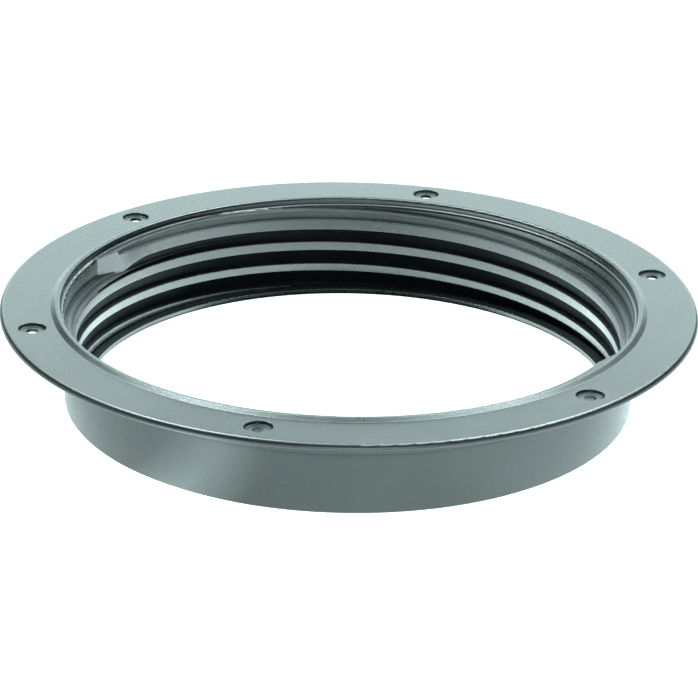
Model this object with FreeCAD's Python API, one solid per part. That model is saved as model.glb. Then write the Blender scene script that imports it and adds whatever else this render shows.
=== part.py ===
import FreeCAD, Part

# A moulded plastic toilet flange: a thin round plate with six screw recesses, a collar that hangs below it,
# and a coarse two-start thread inside the collar, which a threaded fitting screws down into.
# Millimetres, +Z up. The axis of the ring is Z, and the bottom edge of the collar lies on Z = 0.

import os

# The plate
FLANGE_RADIUS = 88.9
HEIGHT = 25.4
PLATE_THICKNESS = 1.6
RIM_TOP_ROUND = 1.15
RIM_UNDER_ROUND = 0.3

# The mouth of the ring, with a low bead round it
MOUTH_RADIUS = 73.5
MOUTH_LIP_HEIGHT = 24.45
MOUTH_WALL_RADIUS = 72.6
MOUTH_WALL_OUTER_RADIUS = 75.4
SHOULDER_ROUND = 0.8
BEAD_WIDTH = 2.6
BEAD_HEIGHT = 0.75
BEAD_ROUND = 0.8

# The sloping seat inside the mouth, where a sealing ring beds down
SEAT_OUTER_HEIGHT = 18.4
SEAT_INNER_HEIGHT = 17.5
SEAT_INNER_RADIUS = 69.8

# The collar below the plate, with an inward lip at its bottom edge
COLLAR_RADIUS = 72.9
SHOULDER_HEIGHT = 16.9
LIP_RADIUS = 67.4
LIP_HEIGHT = 1.5
BOTTOM_CHAMFER = 0.4

# The thread: two helical ridges, each with a flat top flank, a narrow upright crest and a long sloping underside
STARTS = 2
LEAD = 12.8
ROOT_RADIUS = 71.1
CREST_RADIUS = 69.65
CREST_WIDTH = 1.72
UPPER_FLANK_DROP = 0.25
LOWER_FLANK_RISE = 4.25
BACK_RADIUS = 71.3
BACK_RISE = 1.9
BACK_TOP_SLOPE = 0.15
THREAD_START_ANGLE = 161.0
THREAD_START_HEIGHT = 23.6
THREAD_TOP = 24.3
THREAD_TURNS = 1.66
LEAD_IN_ANGLE = 21.0
SEAT_LAND_ANGLE = 34.0
RIDGE_LENGTHS_PER_TURN = 6
BITE = 0.8

# The screw recesses
SCREW_COUNT = 6
SCREW_CIRCLE_RADIUS = 81.9
FIRST_SCREW_ANGLE = 15.3
SCREW_HOLE_RADIUS = 1.5
RECESS_RADIUS = 3.5
RECESS_FLOOR_RADIUS = 3.2
RECESS_DEPTH = 0.8
RECESS_EDGE_BREAK = 0.12

Z_AXIS = FreeCAD.Vector(0, 0, 1)
ORIGIN = FreeCAD.Vector(0, 0, 0)


def point(radius, height):
    return FreeCAD.Vector(radius, 0, height)


def outline(points):
    """A closed wire of straight sides in the XZ plane."""
    return Part.makePolygon([point(*p) for p in points] + [point(*points[0])])


def turned(points):
    """The solid that an XZ outline sweeps when it is turned once about Z."""
    return Part.Face(outline(points)).revolve(ORIGIN, Z_AXIS, 360)


def rounded(shape, radius, edge_radius, edge_height):
    """Rounds the circular edges of a given radius and height."""
    edges = []
    for edge in shape.Edges:
        if not isinstance(edge.Curve, Part.Circle):
            continue
        same_radius = abs(edge.Curve.Radius - edge_radius) < 0.01
        same_height = abs(edge.Curve.Center.z - edge_height) < 0.01
        if same_radius and same_height:
            edges.append(edge)
    return shape.makeFillet(radius, edges)


def ring_body():
    """The plate, the bead, the mouth, the seat and the collar, before the thread and the screw recesses."""
    under = HEIGHT - PLATE_THICKNESS
    bead_top = HEIGHT + BEAD_HEIGHT
    bead_foot = MOUTH_RADIUS + BEAD_WIDTH
    bead_flat = MOUTH_RADIUS + BEAD_WIDTH / 2
    body = turned(
        [
            (FLANGE_RADIUS, under),
            (FLANGE_RADIUS, HEIGHT),
            (bead_foot, HEIGHT),
            (bead_flat, bead_top),
            (MOUTH_RADIUS, bead_top),
            (MOUTH_RADIUS, MOUTH_LIP_HEIGHT),
            (MOUTH_WALL_RADIUS, MOUTH_LIP_HEIGHT),
            (MOUTH_WALL_RADIUS, SEAT_OUTER_HEIGHT),
            (SEAT_INNER_RADIUS, SEAT_INNER_HEIGHT),
            (ROOT_RADIUS, SEAT_INNER_HEIGHT - 0.8),
            (ROOT_RADIUS, LIP_HEIGHT),
            (LIP_RADIUS, LIP_HEIGHT),
            (LIP_RADIUS, BOTTOM_CHAMFER),
            (LIP_RADIUS + BOTTOM_CHAMFER, 0),
            (COLLAR_RADIUS - BOTTOM_CHAMFER, 0),
            (COLLAR_RADIUS, BOTTOM_CHAMFER),
            (COLLAR_RADIUS, SHOULDER_HEIGHT),
            (MOUTH_WALL_OUTER_RADIUS, SHOULDER_HEIGHT),
            (MOUTH_WALL_OUTER_RADIUS, under),
        ]
    )
    body = rounded(body, RIM_TOP_ROUND, FLANGE_RADIUS, HEIGHT)
    body = rounded(body, RIM_UNDER_ROUND, FLANGE_RADIUS, under)
    body = rounded(body, SHOULDER_ROUND, MOUTH_WALL_RADIUS, MOUTH_LIP_HEIGHT)
    return rounded(body, BEAD_ROUND, MOUTH_RADIUS, bead_top)


def sector(inner, outer, low, high, start_angle, sweep):
    """Part of a flat ring, swept anticlockwise from start_angle."""
    block = outline([(inner, low), (outer, low), (outer, high), (inner, high)])
    piece = Part.Face(block).revolve(ORIGIN, Z_AXIS, sweep)
    piece.rotate(ORIGIN, Z_AXIS, start_angle)
    return piece


def ridge_blank():
    """One helical ridge, too tall at both flanks' ends, with its upper end on the +X side."""
    drop = LEAD * THREAD_TURNS
    spine = Part.makeLongHelix(LEAD, drop, ROOT_RADIUS)
    spine.translate(FreeCAD.Vector(0, 0, THREAD_START_HEIGHT - drop))
    inner = CREST_RADIUS - BITE
    outer = MOUTH_WALL_RADIUS + BITE
    crest_top = -UPPER_FLANK_DROP
    crest_bottom = crest_top - CREST_WIDTH
    root_bottom = crest_bottom - LOWER_FLANK_RISE
    section = outline(
        [
            (inner, crest_top),
            (CREST_RADIUS, crest_top),
            (ROOT_RADIUS, 0),
            (BACK_RADIUS, BACK_RISE),
            (outer, BACK_RISE + BACK_TOP_SLOPE * (outer - BACK_RADIUS)),
            (outer, root_bottom),
            (ROOT_RADIUS, root_bottom),
            (CREST_RADIUS, crest_bottom),
            (inner, crest_bottom),
        ]
    )
    section.translate(FreeCAD.Vector(0, 0, THREAD_START_HEIGHT - drop))
    ridge = Part.Wire(spine.Edges).makePipeShell([section], True, True)
    ridge.rotate(ORIGIN, Z_AXIS, -360 * THREAD_TURNS)
    return ridge


def thread_room():
    """The space that the ridges may fill: as far in as the crests, and no further out than the ring's wall."""
    middle = (SEAT_OUTER_HEIGHT + SEAT_INNER_HEIGHT) / 2 - BITE
    return turned(
        [
            (CREST_RADIUS, BITE),
            (ROOT_RADIUS + BITE, BITE),
            (ROOT_RADIUS + BITE, middle),
            (MOUTH_WALL_RADIUS + BITE, middle),
            (MOUTH_WALL_RADIUS + BITE, THREAD_TOP),
            (CREST_RADIUS, THREAD_TOP),
        ]
    )


def lead_in():
    """A block that planes the first stretch of a ridge down, so that the fitting's thread finds its way in."""
    length = 60.0
    floor = THREAD_START_HEIGHT - LEAD / 2 - UPPER_FLANK_DROP
    block = Part.makeBox(length, length, HEIGHT)
    block.translate(FreeCAD.Vector(CREST_RADIUS - length, 0, floor))
    block.rotate(ORIGIN, Z_AXIS, -LEAD_IN_ANGLE)
    return block


def ridge():
    """One finished ridge of the thread, with its upper end at angle 0."""
    return ridge_blank().common(thread_room()).cut(lead_in())


def in_lengths(shape):
    """A ridge divided across into lengths of a sixth of a turn, so that each length's crest is a face of its own."""
    sweep = 360 / RIDGE_LENGTHS_PER_TURN
    outer = MOUTH_RADIUS + 2 * BITE
    slices = [sector(BITE, outer, 0, HEIGHT, k * sweep, sweep) for k in range(RIDGE_LENGTHS_PER_TURN)]
    return [shape.common(piece) for piece in slices]


def seat_land():
    """The stretch of the seat's inner edge that runs past a ridge's root, up to where a groove begins."""
    low = SEAT_INNER_HEIGHT - UPPER_FLANK_DROP - CREST_WIDTH
    outer = ROOT_RADIUS + BITE
    return sector(SEAT_INNER_RADIUS, outer, low, SEAT_INNER_HEIGHT, 0, SEAT_LAND_ANGLE)


def screw_recess():
    """The tool for one screw recess: a steep-sided pocket with a flat floor and a through hole."""
    floor = HEIGHT - RECESS_DEPTH
    return turned(
        [
            (0, HEIGHT - 2 * PLATE_THICKNESS),
            (SCREW_HOLE_RADIUS, HEIGHT - 2 * PLATE_THICKNESS),
            (SCREW_HOLE_RADIUS, floor),
            (RECESS_FLOOR_RADIUS, floor),
            (RECESS_RADIUS, HEIGHT - RECESS_EDGE_BREAK),
            (RECESS_RADIUS + RECESS_EDGE_BREAK, HEIGHT),
            (RECESS_RADIUS + RECESS_EDGE_BREAK, HEIGHT + PLATE_THICKNESS),
            (0, HEIGHT + PLATE_THICKNESS),
        ]
    )


def at_angle(shape, angle):
    copy = shape.copy()
    copy.rotate(ORIGIN, Z_AXIS, angle)
    return copy


def threaded_flange():
    """The whole moulding."""
    recess = screw_recess()
    recess.translate(FreeCAD.Vector(SCREW_CIRCLE_RADIUS, 0, 0))
    recesses = [at_angle(recess, FIRST_SCREW_ANGLE + k * 360 / SCREW_COUNT) for k in range(SCREW_COUNT)]
    starts = [THREAD_START_ANGLE + k * 360 / STARTS for k in range(STARTS)]
    ridges = [at_angle(ridge(), angle) for angle in starts]
    lands = [at_angle(seat_land(), angle) for angle in starts]
    flange = ring_body().cut(recesses).fuse(lands).removeSplitter()
    return flange.fuse([length for each in ridges for length in in_lengths(each)])


def main():
    os.makedirs("parts", exist_ok=True)
    flange = threaded_flange()
    flange.exportStep("parts/threaded_flange.step")


main()
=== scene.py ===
import math
import bpy
from mathutils import Matrix, Vector


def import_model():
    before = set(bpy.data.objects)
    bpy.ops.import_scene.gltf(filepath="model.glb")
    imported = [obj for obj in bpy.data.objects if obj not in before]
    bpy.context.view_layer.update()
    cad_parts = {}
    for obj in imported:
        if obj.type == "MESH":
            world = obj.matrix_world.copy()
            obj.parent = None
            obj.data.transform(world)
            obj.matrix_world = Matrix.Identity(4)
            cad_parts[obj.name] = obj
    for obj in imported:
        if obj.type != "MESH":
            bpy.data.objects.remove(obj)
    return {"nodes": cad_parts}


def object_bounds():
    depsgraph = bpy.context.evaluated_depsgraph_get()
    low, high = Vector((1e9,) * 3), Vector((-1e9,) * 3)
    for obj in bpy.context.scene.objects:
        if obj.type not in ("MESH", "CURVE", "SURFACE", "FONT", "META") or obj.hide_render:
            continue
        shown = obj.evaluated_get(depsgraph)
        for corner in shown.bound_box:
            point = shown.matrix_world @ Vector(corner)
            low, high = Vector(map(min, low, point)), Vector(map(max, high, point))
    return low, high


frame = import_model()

CAD_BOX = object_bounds()
FLANGE_RADIUS = (CAD_BOX[1].x - CAD_BOX[0].x) / 2
BEAD_TOP = CAD_BOX[1].z
PLATE_TOP = 0.0254
RIM_ROUND = 0.00115
BEAD_ROUND = 0.0008
MOUTH_RADIUS = 0.0735
THREAD_ZONE_RADIUS = 0.0722
COLLAR_RADIUS = 0.0729

# The camera: a long lens that looks down at the ring from the front, with a slight roll.
CAMERA_LENS = 175.4
CAMERA_SENSOR = 36.0
CAMERA_PITCH = math.radians(22.92)
CAMERA_ROLL = math.radians(0.93)
CAMERA_PLACE = Vector((0.0018, -9.0522, 3.6767)) * FLANGE_RADIUS + Vector((0, 0, PLATE_TOP))

# The light is slightly cool.
TINT = (0.80, 1.0, 0.99)
LIGHT_DISTANCE = 0.9

# Softboxes: name, azimuth, elevation, width, height, brightness
SOFTBOXES = [
    ("overhead_left", 135, 63, 0.36, 0.36, 30.0),
    ("overhead_right", 45, 63, 0.36, 0.36, 29.0),
    ("overhead_back", 90, 63, 0.36, 0.30, 5.6),
    ("high_right", 60, 45, 0.36, 0.34, 11.0),
    ("high_left", 120, 45, 0.36, 0.34, 7.7),
    ("top", 270, 80, 0.30, 0.30, 6.0),
    ("backdrop", 90, 15, 0.95, 0.46, 3.4),
    ("front", 275, 9, 0.40, 0.30, 8.5),
]

# The white floor round the ring: its general brightness, and the brighter patches on it, which are painted
# pools of light.
# Each patch fades to nothing at its half width: name, azimuth, half width, extra brightness
FLOOR_GLOW = 1.5
FLOOR_PATCHES = [
    ("left", 225, 60, 1.4),
    ("streak", 236, 14, 4.1),
    ("right", 308, 80, 2.5),
]
FLOOR_REACH = 30.0
FLOOR_STEPS = 180

# The floor inside the ring, which the camera and the reflections see as two separate discs.
# The mirrored disc's glow is given by distance from the axis, and near the wall it ends in a painted shadow
# of the ring.
INSIDE_EDGE = COLLAR_RADIUS - 0.001
INSIDE_CENTRE = 0.0005
INSIDE_STEP = 0.001
INSIDE_SEEN_GLOW = 1.5
INSIDE_MIRRORED_HEIGHT = -0.0005
INSIDE_GLOW = [(0.0, 0.6), (0.020, 0.6), (0.028, 7.0), (0.048, 8.0), (0.056, 11.0), (0.070, 11.0)]
INSIDE_REACH = [(0, 0.052), (20, 0.058), (40, 0.064), (180, 0.064)]
BACK_AZIMUTH = 90
# The painted shadow's soft edge and the glow inside it.
SHADE_WIDTH = 0.003
SHADED = 0.03


def camera():
    forward = Vector((0, math.cos(CAMERA_PITCH), -math.sin(CAMERA_PITCH)))
    level_right = Vector((1, 0, 0))
    level_up = level_right.cross(forward)
    right = level_right * math.cos(CAMERA_ROLL) + level_up * math.sin(CAMERA_ROLL)
    up = level_up * math.cos(CAMERA_ROLL) - level_right * math.sin(CAMERA_ROLL)
    data = bpy.data.cameras.new("camera")
    data.lens = CAMERA_LENS
    data.sensor_width = CAMERA_SENSOR
    data.clip_start = 0.01
    data.clip_end = 100
    cam = bpy.data.objects.new("camera", data)
    bpy.context.scene.collection.objects.link(cam)
    turn = Matrix((right, up, -forward)).transposed()
    cam.matrix_world = Matrix.Translation(CAMERA_PLACE) @ turn.to_4x4()
    bpy.context.scene.camera = cam


def softbox(name, azimuth, elevation, width, height, brightness):
    """A rectangular lamp that faces the ring; brightness is its radiance."""
    data = bpy.data.lights.new(name, "AREA")
    data.shape = "RECTANGLE"
    data.size = width
    data.size_y = height
    data.energy = brightness * math.pi * width * height
    data.color = TINT
    lamp = bpy.data.objects.new(name, data)
    bpy.context.scene.collection.objects.link(lamp)
    turn = math.radians(azimuth)
    rise = math.radians(elevation)
    flat = Vector((math.cos(turn), math.sin(turn), 0)) * math.cos(rise)
    lamp.location = (flat + Vector((0, 0, math.sin(rise)))) * LIGHT_DISTANCE
    lamp.rotation_euler = (-lamp.location).to_track_quat("-Z", "Y").to_euler()
    lamp.visible_camera = False


def level_at(table, place):
    """The value at a place, on the straight lines between a table's rows."""
    for (start, low), (stop, high) in zip(table, table[1:]):
        if start <= place <= stop:
            return low + (high - low) * (place - start) / (stop - start)
    return table[-1][1]


def turn_between(first, second):
    """The smaller angle between two azimuths."""
    return abs((first - second + 180) % 360 - 180)


def glowing_paper(name):
    """White paper whose brightness is held in the mesh's own glow attribute."""
    mat = bpy.data.materials.new(name)
    mat.use_nodes = True
    tree = mat.node_tree
    tree.nodes.clear()
    out = tree.nodes.new("ShaderNodeOutputMaterial")
    glow = tree.nodes.new("ShaderNodeEmission")
    glow.inputs["Color"].default_value = (*TINT, 1)
    level = tree.nodes.new("ShaderNodeAttribute")
    level.attribute_name = "glow"
    tree.links.new(level.outputs["Fac"], glow.inputs["Strength"])
    tree.links.new(glow.outputs[0], out.inputs[0])
    return mat


def paper(name, radii, level, height=0.0):
    """Rings of floor between the radii, each point with its own brightness level(azimuth, radius)."""
    steps = FLOOR_STEPS
    points = []
    levels = []
    for radius in radii:
        for k in range(steps):
            azimuth = 360 * k / steps
            turn = math.radians(azimuth)
            points.append((radius * math.cos(turn), radius * math.sin(turn), height))
            levels.append(level(azimuth, radius))
    faces = []
    for row in range(len(radii) - 1):
        for k in range(steps):
            after = (k + 1) % steps
            near, far = row * steps, (row + 1) * steps
            faces.append((near + k, far + k, far + after, near + after))
    mesh = bpy.data.meshes.new(name)
    mesh.from_pydata(points, [], faces)
    attribute = mesh.attributes.new("glow", "FLOAT", "POINT")
    for k, value in enumerate(levels):
        attribute.data[k].value = value
    mesh.materials.append(glowing_paper(name + "_paper"))
    sheet = bpy.data.objects.new(name, mesh)
    bpy.context.scene.collection.objects.link(sheet)
    sheet.visible_shadow = False
    return sheet


def outside_glow(azimuth, radius):
    level = FLOOR_GLOW
    for name, centre, half_width, extra in FLOOR_PATCHES:
        level += extra * max(0, 1 - turn_between(azimuth, centre) / half_width)
    return level


def inside_glow(azimuth, radius):
    # Painted shadow: past the reach, which depends on the turn from the back, the glow falls to SHADED, as
    # if the ring shaded the floor.
    reach = level_at(INSIDE_REACH, turn_between(azimuth, BACK_AZIMUTH))
    lit = min(1, max(0, (reach + SHADE_WIDTH - radius) / SHADE_WIDTH))
    return SHADED + (level_at(INSIDE_GLOW, radius) - SHADED) * lit


def inside_seen(azimuth, radius):
    return INSIDE_SEEN_GLOW


def floor():
    """The floor round the ring, and the camera's disc and the reflections' disc inside it."""
    paper("floor", (INSIDE_EDGE, FLOOR_REACH), outside_glow)
    seen = paper("floor_inside", (INSIDE_CENTRE, INSIDE_EDGE), inside_seen)
    seen.visible_glossy = False
    seen.visible_diffuse = False
    rings = math.ceil((INSIDE_EDGE - INSIDE_CENTRE) / INSIDE_STEP)
    radii = [INSIDE_CENTRE + INSIDE_STEP * k for k in range(rings)]
    mirrored = paper("floor_mirrored", radii, inside_glow, INSIDE_MIRRORED_HEIGHT)
    mirrored.visible_camera = False
    mirrored.visible_diffuse = False


def world():
    """A white surround for the camera, and no light from it on the ring."""
    surround = bpy.data.worlds.new("studio")
    bpy.context.scene.world = surround
    surround.use_nodes = True
    tree = surround.node_tree
    background = tree.nodes["Background"]
    background.inputs["Color"].default_value = (1, 1, 1, 1)
    path = tree.nodes.new("ShaderNodeLightPath")
    tree.links.new(path.outputs["Is Camera Ray"], background.inputs["Strength"])


class Graph:
    """A short way to add and link the nodes of a material."""

    def __init__(self, name):
        self.material = bpy.data.materials.new(name)
        self.material.use_nodes = True
        self.tree = self.material.node_tree
        self.shader = self.tree.nodes["Principled BSDF"]
        self.place = self.tree.nodes.new("ShaderNodeTexCoord").outputs["Object"]

    def add(self, kind, **values):
        node = self.tree.nodes.new(kind)
        for key, value in values.items():
            setattr(node, key, value)
        return node

    def link(self, source, target):
        self.tree.links.new(source, target)

    def noise(self, scale, detail=3.0, rough=0.55):
        node = self.add("ShaderNodeTexNoise")
        node.inputs["Scale"].default_value = scale
        node.inputs["Detail"].default_value = detail
        node.inputs["Roughness"].default_value = rough
        self.link(self.place, node.inputs["Vector"])
        return node.outputs["Fac"]

    def remap(self, source, low, high, to_low, to_high):
        node = self.add("ShaderNodeMapRange")
        for key, value in zip(("From Min", "From Max", "To Min", "To Max"), (low, high, to_low, to_high)):
            node.inputs[key].default_value = value
        self.link(source, node.inputs["Value"])
        return node.outputs["Result"]

    def math(self, operation, first, second):
        node = self.add("ShaderNodeMath", operation=operation)
        for socket, value in zip(node.inputs, (first, second)):
            if isinstance(value, (int, float)):
                socket.default_value = value
            else:
                self.link(value, socket)
        return node.outputs[0]

    def blend(self, factor, first, second):
        node = self.add("ShaderNodeMix", data_type="RGBA")
        self.link(factor, node.inputs["Factor"])
        for socket, value in zip((node.inputs[6], node.inputs[7]), (first, second)):
            if isinstance(value, tuple):
                socket.default_value = value
            else:
                self.link(value, socket)
        return node.outputs[2]

    def bump(self, height, distance, strength, normal=None):
        node = self.add("ShaderNodeBump")
        node.inputs["Distance"].default_value = distance
        node.inputs["Strength"].default_value = strength
        self.link(height, node.inputs["Height"])
        if normal is not None:
            self.link(normal, node.inputs["Normal"])
        return node.outputs["Normal"]


class Turned:
    """Where a point lies round the ring's axis: its distance, its height, and the direction outward."""

    def __init__(self, g):
        self.g = g
        split = g.add("ShaderNodeSeparateXYZ")
        g.link(g.place, split.inputs[0])
        flat = g.add("ShaderNodeCombineXYZ")
        g.link(split.outputs["X"], flat.inputs["X"])
        g.link(split.outputs["Y"], flat.inputs["Y"])
        self.height = split.outputs["Z"]
        self.distance = self.vector("LENGTH", flat.outputs[0]).outputs["Value"]
        self.outward = self.vector("NORMALIZE", flat.outputs[0]).outputs[0]

    def vector(self, operation, first, second=None):
        node = self.g.add("ShaderNodeVectorMath", operation=operation)
        self.g.link(first, node.inputs[0])
        if second is not None:
            self.g.link(second, node.inputs[1])
        return node

    def scaled(self, direction, amount):
        node = self.vector("SCALE", direction)
        self.g.link(amount, node.inputs["Scale"])
        return node.outputs[0]

    def without_facets(self, normal):
        """A normal with its small part round the axis taken away."""
        up = self.g.add("ShaderNodeCombineXYZ")
        up.inputs["Z"].default_value = 1.0
        along = self.vector("CROSS_PRODUCT", up.outputs[0], self.outward).outputs[0]
        share = self.vector("DOT_PRODUCT", normal, along).outputs["Value"]
        keep = self.g.remap(self.g.math("ABSOLUTE", share, 0), 0.10, 0.20, 1.0, 0.0)
        removed = self.scaled(along, self.g.math("MULTIPLY", share, keep))
        rest = self.vector("SUBTRACT", normal, removed).outputs[0]
        return self.vector("NORMALIZE", rest).outputs[0]

    def round_edge(self, normal, radius, height, side):
        """The normal of a rounded edge about a circle, on the circle's outer (1) or inner (-1) side."""
        g = self.g
        out = g.math("SUBTRACT", self.distance, radius)
        rise = g.math("SUBTRACT", self.height, height)
        up = g.add("ShaderNodeCombineXYZ")
        g.link(rise, up.inputs["Z"])
        total = self.vector("ADD", self.scaled(self.outward, out), up.outputs[0]).outputs[0]
        true_round = self.vector("NORMALIZE", total).outputs[0]
        on_side = g.math("GREATER_THAN", g.math("MULTIPLY", out, side), 0.0)
        inside = g.math("MULTIPLY", on_side, g.math("GREATER_THAN", rise, 0.0))
        mix = g.add("ShaderNodeMix", data_type="VECTOR")
        g.link(inside, mix.inputs["Factor"])
        g.link(normal, mix.inputs[4])
        g.link(true_round, mix.inputs[5])
        return mix.outputs[1]


def edge_mask(g, radius):
    """1 where the surface turns sharply within the radius, 0 on open faces."""
    bevel = g.add("ShaderNodeBevel", samples=6)
    bevel.inputs["Radius"].default_value = radius
    true_normal = g.add("ShaderNodeNewGeometry").outputs["Normal"]
    dot = g.add("ShaderNodeVectorMath", operation="DOT_PRODUCT")
    g.link(bevel.outputs["Normal"], dot.inputs[0])
    g.link(true_normal, dot.inputs[1])
    return g.remap(dot.outputs["Value"], 0.995, 0.90, 0.0, 1.0), bevel.outputs["Normal"]


def groove_openness(g, reach):
    """1 on open faces, and less in grooves and inside corners, where it is used to dim the shine as painted
    shade.
    """
    hollow = g.add("ShaderNodeAmbientOcclusion", samples=8, only_local=True)
    hollow.inputs["Distance"].default_value = reach
    return hollow.outputs["AO"]


def underside_painted_shade(g, turned):
    """Painted shade: near 0 on the undersides of the thread's ridges, whose shine is taken away so that
    they read dark, and 1 everywhere else.
    """
    split = g.add("ShaderNodeSeparateXYZ")
    g.link(g.add("ShaderNodeNewGeometry").outputs["Normal"], split.inputs[0])
    facing = g.remap(split.outputs["Z"], -0.28, -0.12, 0.04, 1.0)
    outside = g.math("GREATER_THAN", turned.distance, THREAD_ZONE_RADIUS)
    return g.math("MAXIMUM", facing, outside)


def moulded_plastic():
    """Black moulded plastic: a fine satin grain, faint flow marks, rubbed edges, a little dust, and painted
    shade that takes the shine off the grooves and the ridges' undersides.
    """
    g = Graph("moulded_black_plastic")
    grain = g.noise(2600, 2.0, 0.6)
    texture = g.noise(900, 3.0, 0.6)
    cloud = g.noise(28, 4.0, 0.6)
    flow = g.noise(7, 2.0, 0.5)
    edge, soft_normal = edge_mask(g, 0.00035)
    rubbed = g.math("MULTIPLY", edge, g.remap(g.noise(160), 0.42, 0.62, 0.15, 1.0))
    dust = g.remap(g.noise(1500, 4.0, 0.7), 0.62, 0.74, 0.0, 1.0)

    body = g.blend(g.remap(cloud, 0.3, 0.7, 0, 1), (0.011, 0.013, 0.014, 1), (0.020, 0.024, 0.025, 1))
    body = g.blend(g.math("MULTIPLY", dust, 0.35), body, (0.10, 0.11, 0.11, 1))
    body = g.blend(g.math("MULTIPLY", rubbed, 0.5), body, (0.07, 0.08, 0.082, 1))
    g.link(body, g.shader.inputs["Base Color"])

    rough = g.remap(texture, 0.25, 0.75, 0.25, 0.35)
    rough = g.math("ADD", rough, g.remap(cloud, 0.3, 0.7, -0.03, 0.04))
    rough = g.math("ADD", rough, g.remap(flow, 0.3, 0.7, -0.02, 0.02))
    rough = g.math("ADD", rough, g.math("MULTIPLY", rubbed, 0.06))
    g.link(rough, g.shader.inputs["Roughness"])

    turned = Turned(g)
    normal = turned.without_facets(soft_normal)
    normal = turned.round_edge(normal, FLANGE_RADIUS - RIM_ROUND, PLATE_TOP - RIM_ROUND, 1)
    normal = turned.round_edge(normal, MOUTH_RADIUS + BEAD_ROUND, BEAD_TOP - BEAD_ROUND, -1)
    normal = g.bump(texture, 0.00004, 0.35, normal)
    normal = g.bump(grain, 0.00004, 0.5, normal)
    g.link(normal, g.shader.inputs["Normal"])
    g.shader.inputs["IOR"].default_value = 1.5
    # Painted shade: the shine is cut in grooves and inside corners, and on the ridges' undersides, so that
    # they read dark.
    shine_and_painted_groove_shade = g.remap(groove_openness(g, 0.004), 0.50, 0.86, 0.02, 0.5)
    g.link(g.math("MULTIPLY", shine_and_painted_groove_shade, underside_painted_shade(g, turned)), g.shader.inputs["Specular IOR Level"])
    return g.material


def dress():
    node = frame["nodes"]["threaded_flange"]
    plastic = moulded_plastic()
    for slot in node.material_slots:
        slot.material = plastic


camera()
floor()
world()
for box in SOFTBOXES:
    softbox(*box)
dress()
bpy.context.scene.view_settings.view_transform = "Standard"
